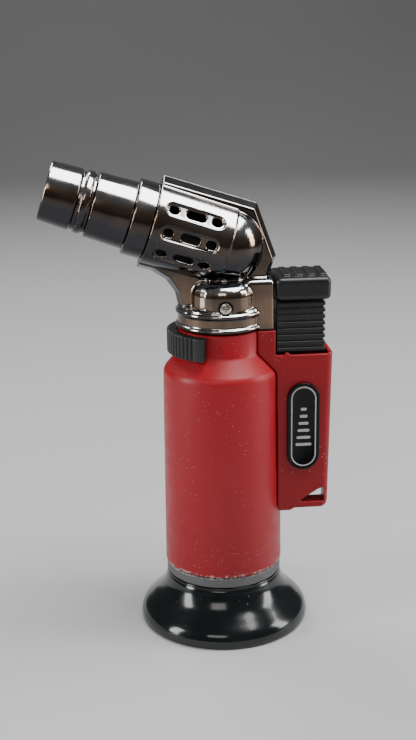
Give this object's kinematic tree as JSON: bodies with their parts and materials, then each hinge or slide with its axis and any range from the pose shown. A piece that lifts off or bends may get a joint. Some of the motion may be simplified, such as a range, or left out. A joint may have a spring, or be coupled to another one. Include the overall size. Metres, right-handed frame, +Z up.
{
  "type": "butane torch",
  "caption": "Pocket butane torch on a flared pull-off foot, with a slotted angled burner head, stepped nozzle, thumb trigger and flame adjuster.",
  "frame": {"origin": "centre of the flat underside of the foot", "axes": "+Z up along the tank axis, the nozzle points to -X, the thumb trigger is on the +X side, the badge faces -Y"},
  "size_m": [0.0806, 0.0492, 0.1357],
  "materials": {
    "red_paint": "soft satin paint with fine dust and small chips at the bottom edge",
    "red_plastic": "satin moulded plastic",
    "black_gloss": "polished",
    "black_matte": "fine matte texture",
    "grey_ring": "matte",
    "clear_plastic": "translucent moulding",
    "dark_chrome": "dark gun-metal chrome plating on die casting",
    "steel": "plain steel",
    "brass": "turned",
    "ceramic": "glazed",
    "rubber": "moulded",
    "wire_cover": "insulation"
  },
  "bodies": {
    "torch": {"tank_shell": "red_paint", "base_ring": "grey_ring", "tank_base_cap": "black_matte", "fuel_reservoir": "clear_plastic", "outlet_valve_body": "brass", "outlet_valve_spring": "steel", "fill_valve_body": "brass", "fill_valve_spring": "steel", "fill_valve_keeper": "brass", "burner_head_near": "dark_chrome", "burner_head_far": "dark_chrome", "head_screw": "steel", "nozzle_collar": "dark_chrome", "nozzle_mid_tube": "dark_chrome", "nozzle_bead_ring": "dark_chrome", "nozzle_tip": "dark_chrome", "mixing_tube": "steel", "gas_jet": "brass", "flame_holder": "steel", "electrode_insulator": "ceramic", "spark_electrode": "steel", "gas_tube": "brass", "ignition_wire": "wire_cover", "lever_pin": "steel", "trigger_housing": "red_plastic", "piezo_case": "black_matte", "trigger_spring": "steel", "badge_plate": "black_gloss"},
    "foot_stand": {"foot_shell": "black_gloss", "foot_base_plate": "rubber"},
    "flame_adjuster": {"flame_adjuster": "black_matte"},
    "trigger": {"trigger_cap": "black_matte", "trigger_skirt": "black_matte", "piezo_plunger": "black_matte"},
    "valve_lever": {"valve_lever": "steel"},
    "outlet_stem": {"outlet_valve_stem": "brass", "outlet_valve_oring": "rubber"},
    "fill_stem": {"fill_valve_stem": "steel"}
  },
  "joints": [
    {"name": "trigger_press", "type": "slide", "parent": "torch", "child": "trigger", "axis": [0, 0, -1], "range_m": [0, 0.006], "stiffness_N_per_m": 1500, "springref_m": -0.003, "deforming": ["trigger_spring"]},
    {"name": "valve_lever_tilt", "type": "hinge", "parent": "torch", "child": "valve_lever", "pos_m": [0.0096, 0, 0.0909], "axis": [0, 1, 0], "range_deg": [0, 5.5]},
    {"name": "outlet_valve_lift", "type": "slide", "parent": "torch", "child": "outlet_stem", "axis": [0, 0, 1], "range_m": [0, 0.00095], "deforming": ["outlet_valve_spring"]},
    {"name": "flame_adjuster_turn", "type": "hinge", "parent": "torch", "child": "flame_adjuster", "pos_m": [0, 0, 0.085], "axis": [0, 0, 1], "range_deg": [-35, 35]},
    {"name": "foot_pull", "type": "slide", "parent": "torch", "child": "foot_stand", "axis": [0, 0, -1], "range_m": [0, 0.012]},
    {"name": "fill_valve_press", "type": "slide", "parent": "torch", "child": "fill_stem", "axis": [0, 0, 1], "range_m": [0, 0.0015], "stiffness_N_per_m": 800, "springref_m": -0.001, "deforming": ["fill_valve_spring"]}
  ],
  "couplings": [
    {"joint": "valve_lever_tilt", "follows": "trigger_press", "rad_per_m": 15.9},
    {"joint": "outlet_valve_lift", "follows": "trigger_press", "ratio": 0.152}
  ]
}
